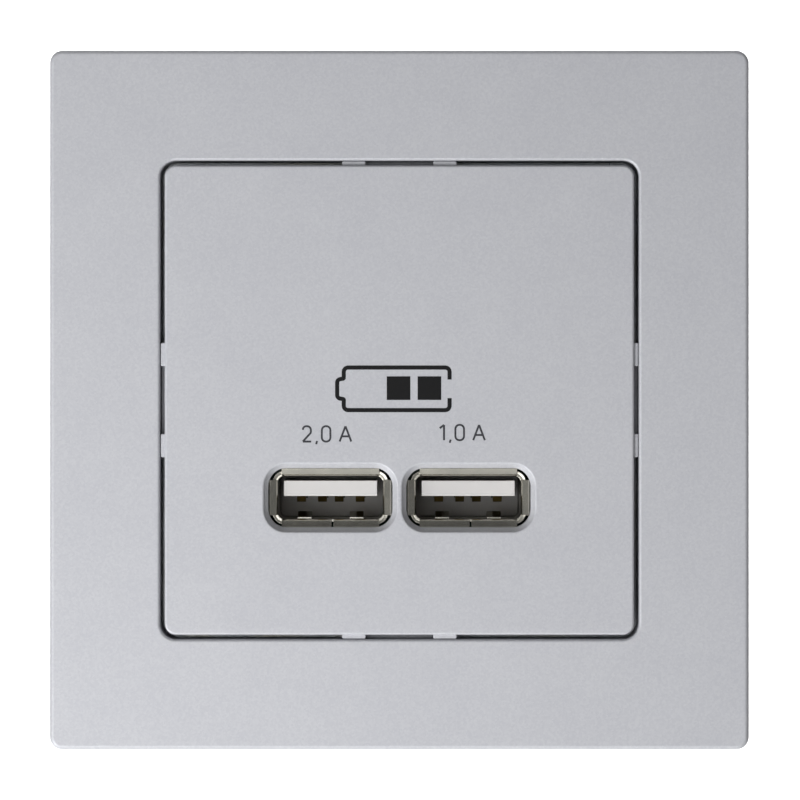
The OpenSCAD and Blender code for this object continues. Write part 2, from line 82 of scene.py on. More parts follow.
def perMm(size):  # a texture's scale for features of that many millimetres
    return 1 / (size * mm)


def camel(node):  # a CAD node's name as a piece's name
    first, *others = node.split("_")
    return first + "".join(word.title() for word in others)


def corners(node):  # a CAD node's lowest and highest corner in millimetres
    low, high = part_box(node)
    return low / mm, high / mm


def rounded(points, steps=4, closed=False):  # (u, v, fillet) corners become a line with arcs
    line = []
    for i, (u, v, fillet) in enumerate(points):
        here = Vector((u, v))
        ends = not closed and i in (0, len(points) - 1)
        if fillet <= 0 or ends:
            line.append(here)
            continue
        back = (Vector(points[i - 1][:2]) - here).normalized()
        ahead = (Vector(points[(i + 1) % len(points)][:2]) - here).normalized()
        half = back.angle(ahead) / 2
        centre = here + (back + ahead).normalized() * (fillet / sin(half))
        start = here + back * (fillet * cos(half) / sin(half)) - centre
        end = here + ahead * (fillet * cos(half) / sin(half)) - centre
        sweep = (atan2(end.y, end.x) - atan2(start.y, start.x) + pi) % tau - pi
        for k in range(steps + 1):
            a = atan2(start.y, start.x) + sweep * k / steps
            line.append(centre + Vector((cos(a), sin(a))) * fillet)
    return line


def bakeObject(holder):  # the object's modifiers as a plain mesh
    graph = bpy.context.evaluated_depsgraph_get()
    mesh = bpy.data.meshes.new_from_object(holder.evaluated_get(graph))
    bpy.data.objects.remove(holder)
    return mesh


def placed(data, name="holder"):
    thing = bpy.data.objects.new(name, data)
    bpy.context.scene.collection.objects.link(thing)
    return thing


def opened(*meshes):
    work = bmesh.new()
    for mesh in meshes:
        work.from_mesh(mesh)
    return work


def written(work, mesh=None):
    mesh = mesh or bpy.data.meshes.new("shape")
    work.to_mesh(mesh)
    work.free()
    return mesh


def cleaned(mesh, recalculate=True):
    work = opened(mesh)
    bmesh.ops.remove_doubles(work, verts=work.verts, dist=weldGap * mm)
    bmesh.ops.dissolve_degenerate(work, edges=work.edges, dist=0.4 * weldGap * mm)
    if recalculate:
        bmesh.ops.recalc_face_normals(work, faces=work.faces)
    return written(work, mesh)


def moved(mesh, offset=(0, 0, 0), turn=0):  # turned about Y, then shifted
    mesh.transform(Matrix.Translation(Vector(offset) * mm) @ Matrix.Rotation(turn, 4, "Y"))
    return mesh


def joined(meshes):
    return written(opened(*meshes))


def block(low, high, bevel):
    low, high = Vector(low), Vector(high)
    size = high - low
    work = bmesh.new()
    bmesh.ops.create_cube(work, size=1)
    place = Matrix.Translation((high + low) / 2 * mm) @ Matrix.Diagonal(size * mm).to_4x4()
    bmesh.ops.transform(work, verts=work.verts, matrix=place)
    if bevel:
        bmesh.ops.bevel(work, geom=work.edges[:], offset=min(bevel, min(size) * 0.4) * mm,
                        segments=2, profile=0.5, affect="EDGES")
    return written(work)


def prism(outline, length, bevel=0):  # an outline in Y and Z, made solid along X about its middle
    work = bmesh.new()
    face = work.faces.new([work.verts.new((-length / 2 * mm, p[0] * mm, p[1] * mm)) for p in outline])
    far = bmesh.ops.extrude_face_region(work, geom=[face])["geom"]
    far = [v for v in far if isinstance(v, bmesh.types.BMVert)]
    bmesh.ops.translate(work, vec=(length * mm, 0, 0), verts=far)
    bmesh.ops.recalc_face_normals(work, faces=work.faces)
    mesh = written(work)
    return softened(mesh, bevel) if bevel else mesh


def softened(mesh, bevel, segments=2):  # rounds every sharp edge
    holder = placed(mesh)
    modifier = holder.modifiers.new("edges", "BEVEL")
    modifier.width = bevel * mm
    modifier.segments = segments
    modifier.limit_method = "ANGLE"
    modifier.angle_limit = radians(bevelAngle)
    modifier.miter_outer = "MITER_ARC"
    return bakeObject(holder)


def combined(mesh, others, operation="DIFFERENCE"):
    for other in others:
        holder = placed(mesh)
        tool = placed(other)
        modifier = holder.modifiers.new("cut", "BOOLEAN")
        modifier.operation = operation
        modifier.solver = "EXACT"
        modifier.object = tool
        mesh = bakeObject(holder)
        bpy.data.objects.remove(tool)
    return cleaned(mesh, recalculate=False)


def flattened(mesh):  # each flat side becomes one face
    work = opened(mesh)
    bmesh.ops.remove_doubles(work, verts=work.verts, dist=2 * weldGap * mm)
    bmesh.ops.dissolve_limit(work, angle_limit=radians(0.6), verts=work.verts, edges=work.edges)
    return written(work, mesh)


def cadCopy(node, bevel, segments=2):  # a node's own shape with its sharp edges rounded
    mesh = flattened(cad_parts[node].data.copy())
    return softened(mesh, bevel, segments) if bevel else mesh


def piece(name, mesh, body, slot, *nodes, finish=None):  # nodes: the CAD nodes that the piece stands for
    mesh.materials.clear()
    mesh.materials.append(look[finish or slot])
    mesh.shade_smooth()
    mesh.set_sharp_from_angle(angle=radians(creaseAngle))
    # flat faces stay flat beside their rounded edges; in metres the modifier can't tell their areas apart
    mesh.transform(Matrix.Scale(1 / mm, 4))
    holder = placed(mesh)
    flats = holder.modifiers.new("flats", "WEIGHTED_NORMAL")
    flats.keep_sharp = True
    flats.weight = 100
    mesh = bakeObject(holder)
    mesh.transform(Matrix.Scale(mm, 4))
    mesh.name = name
    thing = placed(mesh, name)
    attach(thing, body)
    if nodes:
        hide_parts(*nodes)


def asDesigned(slot, bevel, segments, *nodes):  # the module's pieces that keep their CAD shape
    for node in nodes:
        piece(camel(node), cadCopy(node, bevel, segments), "module", slot, node)


def newTree(name, sockets):
    tree = bpy.data.node_groups.new(name, "GeometryNodeTree")
    tree.interface.new_socket("Geometry", in_out="OUTPUT", socket_type="NodeSocketGeometry")
    for label, kind in sockets:
        tree.interface.new_socket(label, in_out="INPUT", socket_type="NodeSocket" + kind)
    return tree, tree.nodes.new("NodeGroupInput")


def endTree(tree, source, geometry):
    real = addNode(tree, "GeometryNodeRealizeInstances", {"Geometry": geometry})
    painted = addNode(tree, "GeometryNodeSetMaterial",
                      {"Geometry": real, "Material": source.outputs["Material"]})
    addNode(tree, "NodeGroupOutput", {"Geometry": painted})
    return tree


def runTree(tree, values, mesh=None):
    holder = placed(mesh or bpy.data.meshes.new("empty"))
    modifier = holder.modifiers.new("nodes", "NODES")
    modifier.node_group = tree
    for item in tree.interface.items_tree:
        if item.in_out == "INPUT" and item.name in values:
            modifier[item.identifier] = values[item.name]
    return bakeObject(holder)


def roundWalk(tree, index, cornerSteps):  # how far along a rounded rectangle's outline a point stands
    perCorner = addNode(tree, "ShaderNodeMath", {0: cornerSteps, 1: 1}, operation="ADD")
    whole = addNode(tree, "ShaderNodeMath", {0: index, 1: perCorner}, operation="DIVIDE")
    corner = addNode(tree, "ShaderNodeMath", {0: whole}, operation="FLOOR")
    inside = addNode(tree, "ShaderNodeMath", {0: index, 1: perCorner}, operation="MODULO")
    share = addNode(tree, "ShaderNodeMath", {0: inside, 1: cornerSteps}, operation="DIVIDE")
    turns = addNode(tree, "ShaderNodeMath", {0: corner, 1: share}, operation="ADD")
    angle = addNode(tree, "ShaderNodeMath", {0: turns, 1: pi / 2}, operation="MULTIPLY")
    middle = addNode(tree, "ShaderNodeMath", {0: corner, 1: pi / 2, 2: pi / 4}, operation="MULTIPLY_ADD")
    return angle, middle


def roundPlace(tree, angle, middle, half, radius, wave):  # one coordinate of that point
    reach = addNode(tree, "ShaderNodeMath", {0: half, 1: radius}, operation="SUBTRACT")
    side = addNode(tree, "ShaderNodeMath", {0: addNode(tree, "ShaderNodeMath", {0: middle}, operation=wave)},
                   operation="SIGN")
    centre = addNode(tree, "ShaderNodeMath", {0: side, 1: reach}, operation="MULTIPLY")
    swing = addNode(tree, "ShaderNodeMath", {0: angle}, operation=wave)
    return addNode(tree, "ShaderNodeMath", {0: swing, 1: radius, 2: centre}, operation="MULTIPLY_ADD")


def ringLoftTree():  # rings of a rounded rectangle, one for each point of the profile
    tree, source = newTree("ringLoft", [
        ("Geometry", "Geometry"), ("Corner Steps", "Int"), ("Material", "Material")])
    steps = source.outputs["Corner Steps"]
    rings = addNode(tree, "GeometryNodeAttributeDomainSize", {"Geometry": source.outputs["Geometry"]})
    around = addNode(tree, "ShaderNodeMath", {0: steps, 1: 4, 2: 5}, operation="MULTIPLY_ADD")
    grid = addNode(tree, "GeometryNodeMeshGrid", {
        "Size X": 1, "Size Y": 1, "Vertices X": rings.outputs["Point Count"], "Vertices Y": around})
    index = addNode(tree, "GeometryNodeInputIndex")
    ring = addNode(tree, "ShaderNodeMath", {0: addNode(tree, "ShaderNodeMath", {0: index, 1: around},
                                                       operation="DIVIDE")}, operation="FLOOR")
    step = addNode(tree, "ShaderNodeMath", {0: index, 1: around}, operation="MODULO")
    place = addNode(tree, "GeometryNodeSampleIndex",
                    {"Geometry": source.outputs["Geometry"], "Index": ring}, data_type="FLOAT_VECTOR")
    tree.links.new(addNode(tree, "GeometryNodeInputPosition").outputs[0], place.inputs["Value"])
    radius = addNode(tree, "GeometryNodeSampleIndex",
                     {"Geometry": source.outputs["Geometry"], "Index": ring}, data_type="FLOAT")
    named = addNode(tree, "GeometryNodeInputNamedAttribute", {"Name": "cornerRadius"}, data_type="FLOAT")
    tree.links.new(named.outputs[0], radius.inputs["Value"])
    halves = addNode(tree, "ShaderNodeSeparateXYZ", {0: place})
    angle, middle = roundWalk(tree, step, steps)
    x = roundPlace(tree, angle, middle, halves.outputs["X"], radius, "COSINE")
    z = roundPlace(tree, angle, middle, halves.outputs["Z"], radius, "SINE")
    spot = addNode(tree, "ShaderNodeCombineXYZ", {"X": x, "Y": halves.outputs["Y"], "Z": z})
    shaped = addNode(tree, "GeometryNodeSetPosition", {"Geometry": grid.outputs["Mesh"], "Position": spot})
    merged = addNode(tree, "GeometryNodeMergeByDistance", {"Geometry": shaped, "Distance": weldGap * mm})
    return endTree(tree, source, merged)


def coilTree():  # wire wound round a rounded rectangle
    tree, source = newTree("coil", [("Half Width", "Float"), ("Half Height", "Float"), ("Corner", "Float"),
                                    ("Wire Radius", "Float"), ("Turns", "Int"), ("Start", "Float"),
                                    ("Length", "Float"), ("Corner Steps", "Int"), ("Material", "Material")])
    out = source.outputs
    perTurn = addNode(tree, "ShaderNodeMath", {0: out["Corner Steps"], 1: 4, 2: 4}, operation="MULTIPLY_ADD")
    count = addNode(tree, "ShaderNodeMath", {0: perTurn, 1: out["Turns"], 2: 1}, operation="MULTIPLY_ADD")
    line = addNode(tree, "GeometryNodeMeshLine", {"Count": count})
    index = addNode(tree, "GeometryNodeInputIndex")
    step = addNode(tree, "ShaderNodeMath", {0: index, 1: perTurn}, operation="MODULO")
    angle, middle = roundWalk(tree, step, out["Corner Steps"])
    x = roundPlace(tree, angle, middle, out["Half Width"], out["Corner"], "COSINE")
    z = roundPlace(tree, angle, middle, out["Half Height"], out["Corner"], "SINE")
    share = addNode(tree, "ShaderNodeMath", {0: index, 1: count}, operation="DIVIDE")
    y = addNode(tree, "ShaderNodeMath", {0: share, 1: out["Length"], 2: out["Start"]},
                operation="MULTIPLY_ADD")
    spot = addNode(tree, "ShaderNodeCombineXYZ", {"X": x, "Y": y, "Z": z})
    shaped = addNode(tree, "GeometryNodeSetPosition", {"Geometry": line, "Position": spot})
    path = addNode(tree, "GeometryNodeMeshToCurve", {"Mesh": shaped})
    wire = addNode(tree, "GeometryNodeCurvePrimitiveCircle", {"Resolution": 6, "Radius": out["Wire Radius"]})
    tube = addNode(tree, "GeometryNodeCurveToMesh", {"Curve": path, "Profile Curve": wire, "Fill Caps": True})
    return endTree(tree, source, tube)


def threadTree():  # the ridge of a screw thread, rising along Z
    tree, source = newTree("thread", [("Radius", "Float"), ("Turns", "Float"), ("Length", "Float"),
                                      ("Ridge", "Float"), ("Material", "Material")])
    out = source.outputs
    spiral = addNode(tree, "GeometryNodeCurveSpiral",
                     {"Resolution": 20, "Rotations": out["Turns"], "Start Radius": out["Radius"],
                      "End Radius": out["Radius"], "Height": out["Length"], "Reverse": False})
    upright = addNode(tree, "GeometryNodeSetCurveNormal", {"Curve": spiral}, mode="Z_UP")
    ridge = addNode(tree, "GeometryNodeCurvePrimitiveCircle", {"Resolution": 4, "Radius": out["Ridge"]})
    tube = addNode(tree, "GeometryNodeCurveToMesh",
                   {"Curve": upright, "Profile Curve": ridge, "Fill Caps": True})
    return endTree(tree, source, tube)


def copiesTree():  # one piece set down at every point, each turned by its own amount about Y
    tree, source = newTree("copies", [
        ("Geometry", "Geometry"), ("Piece", "Object"), ("Material", "Material")])
    thing = addNode(tree, "GeometryNodeObjectInfo", {"Object": source.outputs["Piece"]})
    turn = addNode(tree, "GeometryNodeInputNamedAttribute", {"Name": "turn"}, data_type="FLOAT")
    euler = addNode(tree, "ShaderNodeCombineXYZ", {"Y": turn})
    rotation = addNode(tree, "FunctionNodeEulerToRotation", {0: euler})
    copies = addNode(tree, "GeometryNodeInstanceOnPoints",
                     {"Points": source.outputs["Geometry"], "Instance": thing.outputs["Geometry"],
                      "Rotation": rotation})
    return endTree(tree, source, copies)


ringLoft = ringLoftTree()
coil = coilTree()
thread = threadTree()
copies = copiesTree()
print("node trees built")


def loft(profile, extra=0.0, cornerSteps=6, filletSteps=4, closed=False, centre=(0, 0)):
    # profile: (half width, depth, fillet, corner radius) for each corner of the section
    line = rounded([p[:3] for p in profile], filletSteps, closed)
    if closed:
        line.append(line[0])
    mesh = bpy.data.meshes.new("profile")
    mesh.from_pydata([(p.x * mm, p.y * mm, (p.x + extra if p.x > 1e-6 else 0) * mm) for p in line], [], [])
    radius = mesh.attributes.new("cornerRadius", "FLOAT", "POINT")
    for i, p in enumerate(line):
        near = min(profile, key=lambda q: (q[0] - p.x) ** 2 + (q[1] - p.y) ** 2)
        radius.data[i].value = max(0, min(p.x, near[3] + p.x - near[0])) * mm
    solid = cleaned(runTree(ringLoft, {"Corner Steps": cornerSteps}, mesh))
    return moved(solid, (centre[0], 0, centre[1]))


def turned(profile, centre=(0, 0), cornerSteps=9):  # a round piece along Y: (radius, depth, fillet)
    return loft([(r, y, f, r) for r, y, f in profile], 0, cornerSteps, 3, False, centre)


def copiesAt(mesh, places):  # places: (x, y, z, turn) in millimetres and radians
    points = bpy.data.meshes.new("places")
    points.from_pydata([Vector(p[:3]) * mm for p in places], [], [])
    turn = points.attributes.new("turn", "FLOAT", "POINT")
    for i, p in enumerate(places):
        turn.data[i].value = p[3]
    original = placed(mesh)
    result = runTree(copies, {"Piece": original}, points)
    bpy.data.objects.remove(original)
    return result


def newMaterial(name, inputs):
    material = bpy.data.materials.new(name)
    material.use_nodes = True
    tree = material.node_tree
    tree.nodes.clear()
    shader = addNode(tree, "ShaderNodeBsdfPrincipled", inputs)
    addNode(tree, "ShaderNodeOutputMaterial", {"Surface": shader})
    return material, tree, shader, addNode(tree, "ShaderNodeTexCoord").outputs["Object"]


def spread(tree, shader, socket, pattern, stops):  # a pattern from 0 to 1 gives a socket colours or greys
    ramp = addNode(tree, "ShaderNodeValToRGB", {"Fac": pattern})
    while len(ramp.color_ramp.elements) < len(stops):
        ramp.color_ramp.elements.new(0.5)
    for element, (position, value) in zip(ramp.color_ramp.elements, stops):
        element.position = position
        element.color = linear(value) if isinstance(value, str) else (value, value, value, 1)
    tree.links.new(ramp.outputs["Color"], shader.inputs[socket])
    return ramp


def silverPaint():
    # ABS moulding under a metallic lacquer: satin, with flakes that glint one by one
    material, tree, shader, place = newMaterial("metallicLacquerOnAbs", {
        "Metallic": 0.15, "Roughness": 0.5, "IOR": 1.45, "Coat Weight": 0.05, "Coat Roughness": 0.45})
    # flakes of 0.03 mm are drawn at 0.22 mm, the finest that shows
    flakes = addNode(tree, "ShaderNodeTexVoronoi", {"Vector": place, "Scale": perMm(0.22)})
    cloud = addNode(tree, "ShaderNodeTexNoise", {"Vector": place, "Scale": perMm(6), "Detail": 3})
    grain = addNode(tree, "ShaderNodeSeparateColor", {0: flakes.outputs["Color"]})
    mixed = addNode(tree, "ShaderNodeMath", {0: cloud, 1: 0.3}, operation="MULTIPLY")
    summed = addNode(tree, "ShaderNodeMath", {0: grain.outputs[0], 1: 0.35, 2: mixed},
                     operation="MULTIPLY_ADD")
    spread(tree, shader, "Base Color", summed, [(0.1, "#b2b3b9"), (0.33, "#b7b8bd"), (0.62, "#bebfc3")])
    spread(tree, shader, "Roughness", grain.outputs[1], [(0.0, 0.46), (1.0, 0.56)])
    peel = addNode(tree, "ShaderNodeTexNoise", {"Vector": place, "Scale": perMm(0.7), "Detail": 2})
    bump = addNode(tree, "ShaderNodeBump", {"Strength": 0.25, "Distance": 0.01 * mm, "Height": peel})
    tree.links.new(bump.outputs["Normal"], shader.inputs["Normal"])
    return material


def zincPlate():
    # cold-rolled steel, pressed and zinc plated: bright, faintly blue and straw in clouds, fine rolling lines
    material, tree, shader, place = newMaterial("zincPlatedSteel", {"Metallic": 1, "Roughness": 0.34})
    cloud = addNode(tree, "ShaderNodeTexNoise",
                    {"Vector": place, "Scale": perMm(9), "Detail": 4, "Distortion": 0.6})
    spread(tree, shader, "Base Color", cloud,
           [(0.3, "#bbc0c6"), (0.5, "#c6c9cb"), (0.7, "#cac7be")])
    stretch = addNode(tree, "ShaderNodeMapping", {"Vector": place, "Scale": (1, 1, 0.04)})
    lines = addNode(tree, "ShaderNodeTexNoise", {"Vector": stretch, "Scale": perMm(0.25), "Detail": 3})
    spread(tree, shader, "Roughness", lines, [(0.3, 0.27), (0.7, 0.44)])
    bump = addNode(tree, "ShaderNodeBump", {"Strength": 0.12, "Distance": 0.01 * mm, "Height": lines})
    tree.links.new(bump.outputs["Normal"], shader.inputs["Normal"])
    return material


def grained(name, low, high, cloud, grain, edges, relief, inputs):
    # clouds of colour, and a finer grain in the roughness and the relief; cloud and grain: (size, detail)
    material, tree, shader, place = newMaterial(name, inputs)
    tint, fine = [
        addNode(tree, "ShaderNodeTexNoise", {"Vector": place, "Scale": perMm(size), "Detail": detail})
        for size, detail in (cloud, grain)]
    spread(tree, shader, "Base Color", tint, [(0.3, low), (0.7, high)])
    spread(tree, shader, "Roughness", fine, [(at, inputs["Roughness"] * share) for at, share in edges])
    strength, depth = relief
    bump = addNode(tree, "ShaderNodeBump", {"Strength": strength, "Distance": depth * mm, "Height": fine})
    tree.links.new(bump.outputs["Normal"], shader.inputs["Normal"])
    return material


def plainMetal(name, low, high, roughness):
    return grained(name, low, high, (2.4, 4), (0.3, 2), ((0.3, 0.92), (0.75, 1.1)), (0.05, 0.004),
                   {"Metallic": 1, "Roughness": roughness})


def mouldedPlastic(name, low, high, roughness, texture=0.3, depth=0.02):
    # a spark-eroded mould leaves a fine, even grain
    return grained(name, low, high, (12, 3), (texture, 4), ((0.25, 0.88), (0.75, 1.15)), (0.4, depth),
                   {"Roughness": roughness, "IOR": 1.5})


def solderMask():
    # green lacquer over glass cloth and copper: the copper tracks show as paler, raised lanes
    material, tree, shader, place = newMaterial("solderMaskOnGlassEpoxy", {
        "Roughness": 0.3, "IOR": 1.5, "Coat Weight": 0.4, "Coat Roughness": 0.2})
    lanes = addNode(tree, "ShaderNodeTexVoronoi", {"Vector": place, "Scale": perMm(2.6), "Randomness": 0.8},
                    distance="MANHATTAN", feature="F1")
    spread(tree, shader, "Base Color", lanes,
           [(0.0, "#1d5b38"), (0.42, "#1d5b38"), (0.46, "#12402a"), (1.0, "#12402a")])
    weave = addNode(tree, "ShaderNodeTexWave", {"Vector": place, "Scale": perMm(1.6), "Distortion": 0.5})
    bump = addNode(tree, "ShaderNodeBump",
                   {"Strength": 0.3, "Distance": 0.02 * mm, "Height": lanes})
    fine = addNode(tree, "ShaderNodeBump",
                   {"Strength": 0.1, "Distance": 0.01 * mm, "Height": weave.outputs["Fac"], "Normal": bump})
    tree.links.new(fine.outputs["Normal"], shader.inputs["Normal"])
    return material


def ink(name, low, high):
    # pad-printed ink, slightly rough where it has dried
    material, tree, shader, place = newMaterial(name, {
        "Roughness": 0.65, "IOR": 1.5, "Specular IOR Level": 0.25})
    noise = addNode(tree, "ShaderNodeTexNoise", {"Vector": place, "Scale": perMm(0.5), "Detail": 3})
    spread(tree, shader, "Base Color", noise, [(0.3, low), (0.7, high)])
    return material


def tapeFilm():
    # polyester film, yellow and clear enough for the copper under it to warm it
    material, tree, shader, place = newMaterial("polyesterTape", {
        "Roughness": 0.18, "IOR": 1.6, "Subsurface Weight": 0.1})
    wraps = addNode(tree, "ShaderNodeTexNoise", {"Vector": place, "Scale": perMm(3), "Detail": 3})
    spread(tree, shader, "Base Color", wraps, [(0.3, "#c39a1e"), (0.7, "#dcb43a")])
    return material


look = {  # by slot; the inks lie on the plate, in its slot
    "silver_paint": silverPaint(),
    "zinc_steel": zincPlate(),
    "screw_steel": plainMetal("nickelPlatedSteelScrew", "#b9babb", "#cfcfce", 0.24),
    "shell_steel": plainMetal("nickelPlatedStainlessStrip", "#b5b3aa", "#c8c5ba", 0.21),
    # the gold contacts get a dark brown, not gold: painted shade for the socket's shadow they sit in
    "gold_contact": plainMetal("goldFlashedBronzeShadeDarkened", "#6b5a34", "#80703f", 0.35),
    "brass": plainMetal("turnedBrass", "#b48e45", "#cdaa60", 0.27),
    "tinned_pin": plainMetal("tinnedCopper", "#bfbfbb", "#d4d3cf", 0.3),
    "capacitor_can": plainMetal("drawnAluminiumCan", "#c3c6c9", "#d3d5d7", 0.3),
    "enamelled_copper": plainMetal("enamelledCopperWire", "#8f4420", "#b55f2e", 0.28),
    "module_plastic": mouldedPlastic("glassFilledPolyamide", "#2c2e31", "#35373b", 0.55),
    "white_plastic": mouldedPlastic("whitePolyester", "#c6c4c3", "#cfcdcb", 0.5, 0.25, 0.008),
    "coil_former": mouldedPlastic("blackPhenolic", "#1c1c1e", "#262628", 0.5),
    "epoxy_black": mouldedPlastic("blackEpoxyMoulding", "#1b1c1e", "#242528", 0.6, 0.12, 0.01),
    "epoxy_blue": mouldedPlastic("blueDippedEpoxy", "#1e4c97", "#2a5fae", 0.3, 1.2, 0.02),
    "film_box": mouldedPlastic("pottedPolypropyleneBox", "#c08d1d", "#cf9d2c", 0.4),
    "capacitor_sleeve": mouldedPlastic("shrunkPvcSleeve", "#1d2b45", "#263755", 0.35, 0.8, 0.01),
    "ferrite": mouldedPlastic("groundFerrite", "#3f4044", "#4b4c50", 0.62, 0.1, 0.015),
    "circuit_board": solderMask(),
    "polyester_tape": tapeFilm(),
    "blackInk": ink("blackPadPrint", "#050507", "#09090b"),
    "greyInk": ink("greyPadPrint", "#36363a", "#3e3e43"),
}
print("materials built")


coverFrame = {"cornerRadius": 1.5, "edge": 0.55, "wall": 1.8, "frontWall": 2.0, "opening": 56.8,
              "openingRadius": 1.9, "openingEdge": 0.35, "skirtWall": 1.2, "skirtBack": -3.6,
              "ribSpacing": 8.0, "ribWidth": 1.0, "ribBack": -4, "gripPlace": 18.0, "gripWidth": 5.0,
              "gripWall": 1.2, "gripBack": -1.8, "tabGap": 0.7, "tabHalf": 0.5}


def buildCoverFrame():
    c = coverFrame
    low, high = corners("cover_frame")
    half, front, hole = high.x, low.y, c["opening"] / 2
    inside = front + c["frontWall"]
    hollow, skirt = half - c["wall"], hole + c["skirtWall"]
    shell = loft([
        (half, 0, 0.15, c["cornerRadius"]),
        (half, front, c["edge"], c["cornerRadius"]),
        (hole, front, c["openingEdge"], c["openingRadius"]),
        (hole, c["skirtBack"], 0.2, c["openingRadius"]),
        (skirt, c["skirtBack"], 0.2, c["openingRadius"] + c["skirtWall"]),
        (skirt, inside, 0.3, c["openingRadius"] + c["skirtWall"]),
        (hollow, inside, 0.4, 1.0),
        (hollow, 0, 0.15, 1.0),
    ], cornerSteps=8, filletSteps=6, closed=True)
    # stiffening ribs across the hollow, and the grips for the strap's tabs
    thick = c["ribWidth"] / 2
    rib = block((-thick, inside - 0.1, skirt - 0.1), (thick, c["ribBack"], hollow + 0.1), 0.15)
    spots = [c["ribSpacing"] * k for k in (-3, -1, 1, 3)]
    ribs = copiesAt(rib, [(x * cos(t), 0, -x * sin(t), t) for x in spots for t in (0, pi / 2, pi, -pi / 2)])
    strap = corners("support_strap")[1]
    grips = []
    for side in (-1, 1):
        for z in (-c["gripPlace"], c["gripPlace"]):
            for out in (-1, 1):
                mid = strap.x - c["tabHalf"] + out * (c["tabGap"] + c["gripWall"] / 2)
                a, b = sorted((side * (mid - c["gripWall"] / 2), side * (mid + c["gripWall"] / 2)))
                grips.append(block((a, inside - 0.1, z - c["gripWidth"] / 2),
                                   (b, c["gripBack"], z + c["gripWidth"] / 2), 0.2))
    piece("coverFrame", joined([shell, ribs] + grips), "cover_frame", "silver_paint", "cover_frame")


centrePlate = {"ribHeight": 0.5, "cornerRadius": 1.35, "edge": 0.3, "wall": 2.0, "skirtWall": 1.4,
               "skirtBack": -4.0, "legBack": -1.4, "legWalls": (0.3, 1.7), "legHalves": (4, 2.3),
               "backRibs": (6, 16),
               "portPitch": 16.4, "portHeight": -11.6, "cutWidth": 15.6, "cutHeight": 7.9, "cutRadius": 2.6,
               "lip": 0.3, "taper": 0.42, "taperDepth": 0.8, "ribPlace": 5.4, "ribWidth": 2.8,
               "gapFloorWidth": 8.0, "gapFloorDepth": 2.4}
ports = {"left": -1, "right": 1}


def portCentre(side):
    return side * centrePlate["portPitch"] / 2, centrePlate["portHeight"]


def buildCentrePlate():
    c = centrePlate
    low, high = corners("centre_plate")
    reach = high.x
    half, front = reach - c["ribHeight"], low.y
    back, inner = front + c["wall"], half - c["skirtWall"]
    shell = loft([
        (0, front, 0, 0),
        (half, front, c["edge"], c["cornerRadius"]),
        (half, c["skirtBack"], 0.2, c["cornerRadius"]),
        (inner, c["skirtBack"], 0.2, 1.0),
        (inner, back, 0.3, 1.0),
        (0, back, 0, 0),
    ], cornerSteps=8, filletSteps=5)
    wide, lip = c["cutWidth"] / 2, c["lip"]
    arc = [(wide + lip - lip * sin(t * pi / 12), front + lip - lip * cos(t * pi / 12)) for t in range(7)]
    narrow = wide - c["taper"]
    section = [(0, front - 1)] + [(wide + lip, front - 1)] + arc
    section += [(narrow, front + c["taperDepth"]), (narrow, back + 1), (0, back + 1)]
    cutters = [loft([(u, v, 0, c["cutRadius"] + u - wide if u else 0) for u, v in section],
                    (c["cutHeight"] - c["cutWidth"]) / 2, cornerSteps=10, centre=portCentre(side))
               for side in ports.values()]
    shell = combined(flattened(shell), cutters)
    # eight small ribs keep the plate centred in the frame's opening, with a deeper one between each pair
    thick, deep, foot = c["ribWidth"] / 2, c["gapFloorWidth"] / 2, half - 0.4
    rib = block((-thick, front + 0.5, foot), (thick, c["skirtBack"] - 1, reach), 0.15)
    deepRib = block((-deep, front + c["gapFloorDepth"], foot), (deep, c["skirtBack"], reach), 0.1)
    sides = (0, pi / 2, pi, -pi / 2)
    spots = [-c["ribPlace"], c["ribPlace"]]
    ribs = joined([copiesAt(rib, [(x * cos(t), 0, -x * sin(t), t) for x in spots for t in sides]),
                   copiesAt(deepRib, [(0, 0, 0, t) for t in sides])])
    cover = corners("front_cover")[1]
    legs = [block((-inner - 0.1, back - 0.1, z - 0.5), (inner + 0.1, back + 0.9, z + 0.5), 0.15)
            for z in c["backRibs"]]
    across, upright = c["legHalves"]
    for side in (-1, 1):
        z = sorted(side * (cover.z + w) for w in c["legWalls"])
        x = sorted(side * (cover.x + w) for w in c["legWalls"])
        legs.append(block((-across, back - 0.1, z[0]), (across, c["legBack"], z[1]), 0.25))
        legs.append(block((x[0], back - 0.1, -upright), (x[1], c["legBack"], upright), 0.25))
    piece("centrePlate", joined([shell, ribs] + legs), "centre_plate", "silver_paint", "centre_plate")


pictogram = {"line": 0.5, "left": -6.6, "right": 5.95, "top": 3.85, "bottom": -1.2, "corner": 0.5,
             "stubReach": 0.78, "stubHalf": 1.22, "stubSlope": 0.12, "gapHalf": 1.1, "cellSize": 2.8,
             "cells": (-1.5, 2.16), "thickness": 0.016}


def stroke(points, width, thickness):  # a flat round-ended line through points in X and Z
    curve = bpy.data.curves.new("stroke", "CURVE")
    curve.dimensions = "3D"
    curve.bevel_depth = width / 2 * mm
    curve.bevel_resolution = 3
    curve.use_fill_caps = True
    spline = curve.splines.new("POLY")
    spline.points.add(len(points) - 1)
    for point, p in zip(spline.points, points):
        point.co = (p.x * mm, 0, p.y * mm, 1)
    mesh = bakeObject(placed(curve))
    mesh.transform(Matrix.Diagonal((1, thickness * 2 / width, 1, 1)))
    return mesh


